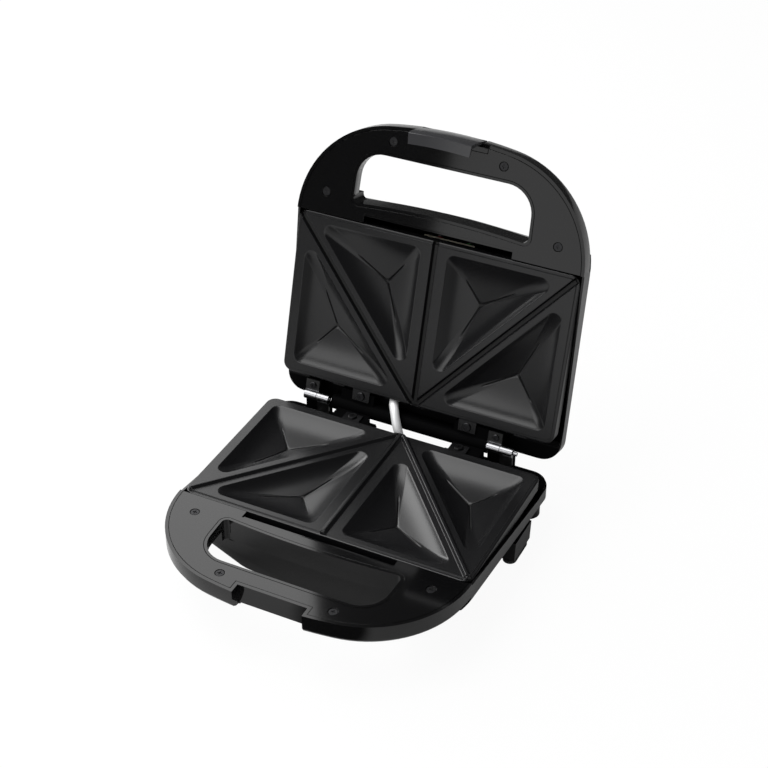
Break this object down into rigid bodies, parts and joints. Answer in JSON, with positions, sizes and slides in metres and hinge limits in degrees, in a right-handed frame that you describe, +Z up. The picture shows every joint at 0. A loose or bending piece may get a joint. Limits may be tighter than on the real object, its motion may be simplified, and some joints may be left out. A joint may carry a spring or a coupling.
{
  "type": "sandwich toaster",
  "caption": "Sandwich toaster with two black shells hinged at the back, non-stick plates with triangular pockets, looped handles and a latch, standing open.",
  "frame": {"origin": "on the table under the middle of the open toaster", "axes": "+X to the right and +Y to the hinges, seen from the handles; +Z up"},
  "size_m": [0.224, 0.2974, 0.2635],
  "materials": {
    "shell_black": "gloss black moulding",
    "cover_black": "gloss black with a soft grain",
    "latch_black": "gloss black moulding",
    "nonstick": "satin non-stick coat on cast aluminium",
    "hinge_steel": "satin plated steel",
    "screw_steel": "blackened steel",
    "conduit_metal": "polished",
    "reflector_sheet": "rolled sheet",
    "element_sheath": "heat-toned steel sheath",
    "foot_rubber": "matte",
    "insulator": "matte",
    "wire_sleeve": "woven sleeve",
    "lens_red": "translucent red",
    "lens_green": "translucent green"
  },
  "bodies": {
    "base": {"base_shell": "shell_black", "base_handle_cover": "cover_black", "base_cover_screws": "screw_steel", "lower_plate": "nonstick", "lower_plate_screws": "screw_steel", "lower_reflector": "reflector_sheet", "lower_element": "element_sheath", "lower_element_clamps": "hinge_steel", "foot_pads": "foot_rubber", "cord_gland": "foot_rubber", "terminal_block": "insulator", "thermal_fuse": "insulator", "base_wiring": "wire_sleeve", "base_hinge_left": "hinge_steel", "base_hinge_right": "hinge_steel", "base_hinge_screws": "screw_steel", "hinge_pin_left": "hinge_steel", "hinge_pin_right": "hinge_steel", "wire_conduit": "conduit_metal"},
    "lid": {"lid_shell": "shell_black", "lid_handle_cover": "cover_black", "lid_cover_screws": "screw_steel", "upper_plate": "nonstick", "upper_plate_screws": "screw_steel", "upper_reflector": "reflector_sheet", "upper_element": "element_sheath", "upper_element_clamps": "hinge_steel", "thermostat": "insulator", "lid_wiring": "wire_sleeve", "lid_hinge_left": "hinge_steel", "lid_hinge_right": "hinge_steel", "lid_hinge_screws": "screw_steel", "indicator_lens_red": "lens_red", "indicator_lens_green": "lens_green", "lamp_holder": "insulator", "latch_pin": "hinge_steel"},
    "latch": {"latch": "latch_black"}
  },
  "joints": [
    {"name": "lid_hinge", "type": "hinge", "parent": "base", "child": "lid", "pos_m": [0, 0.06902, 0.048], "axis": [1, 0, 0], "range_deg": [0, 106], "deforming": ["wire_conduit"]},
    {"name": "latch_pivot", "type": "hinge", "parent": "lid", "child": "latch", "pos_m": [0, 0.13593, 0.25232], "axis": [1, 0, 0], "range_deg": [-35, 8]}
  ]
}
